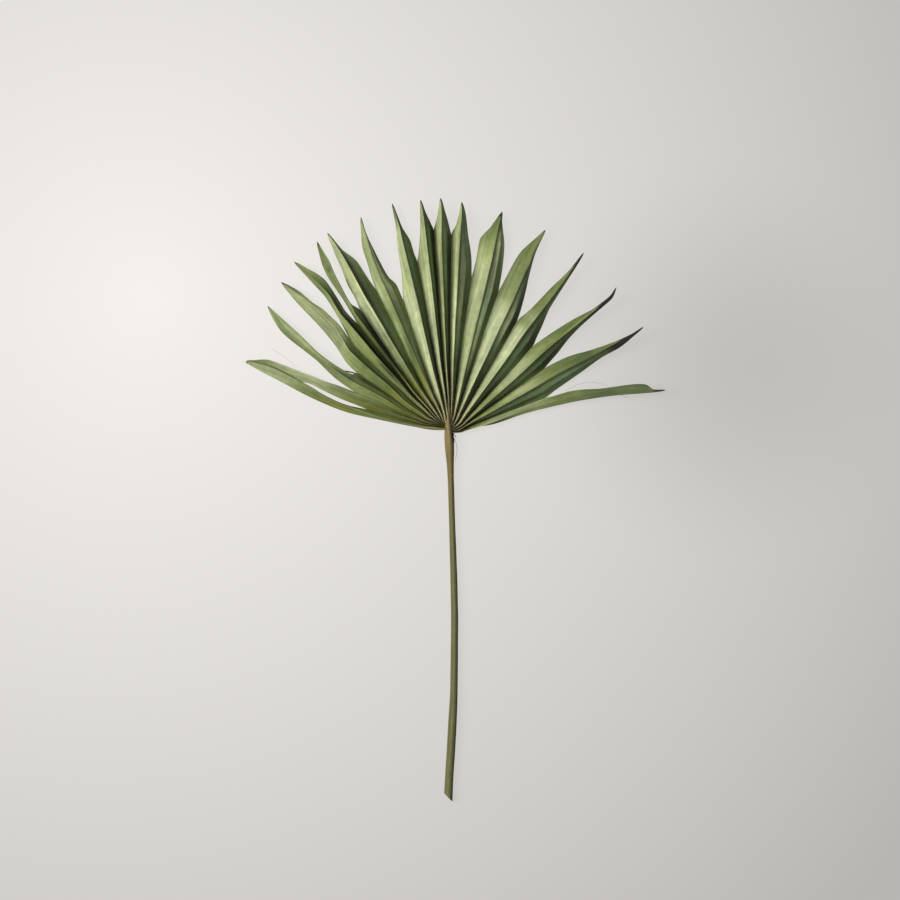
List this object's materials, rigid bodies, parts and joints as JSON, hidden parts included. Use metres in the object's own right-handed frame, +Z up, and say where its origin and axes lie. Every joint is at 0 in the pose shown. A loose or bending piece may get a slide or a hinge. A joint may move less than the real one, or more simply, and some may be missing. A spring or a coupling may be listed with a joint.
{
  "type": "fan palm leaf",
  "caption": "Cut, dried fan palm leaf on a slender stalk: a pleated half-round fan of narrow pointed segments, lying flat with its ribbed back upwards.",
  "frame": {"origin": "on the surface that the leaf lies on, below the middle of its length and width", "axes": "+Z up out of the surface, the stalk runs towards -Y and the fan opens towards +Y"},
  "size_m": [0.452, 0.6502, 0.016],
  "materials": {
    "stalk": "smooth dried green stalk, beige brown at its head, satin",
    "blade": "dried green leaf with fine lengthwise veins, satin, brown pointed tips"
  },
  "bodies": {
    "root": {"stalk": "stalk", "segment_01": "blade", "segment_02": "blade", "segment_03": "blade", "segment_04": "blade", "segment_05": "blade", "segment_06": "blade", "segment_07": "blade", "segment_08": "blade", "segment_09": "blade", "segment_10": "blade", "segment_11": "blade", "segment_12": "blade", "segment_13": "blade", "segment_14": "blade", "segment_15": "blade", "segment_16": "blade", "segment_17": "blade", "segment_18": "blade"}
  },
  "joints": []
}
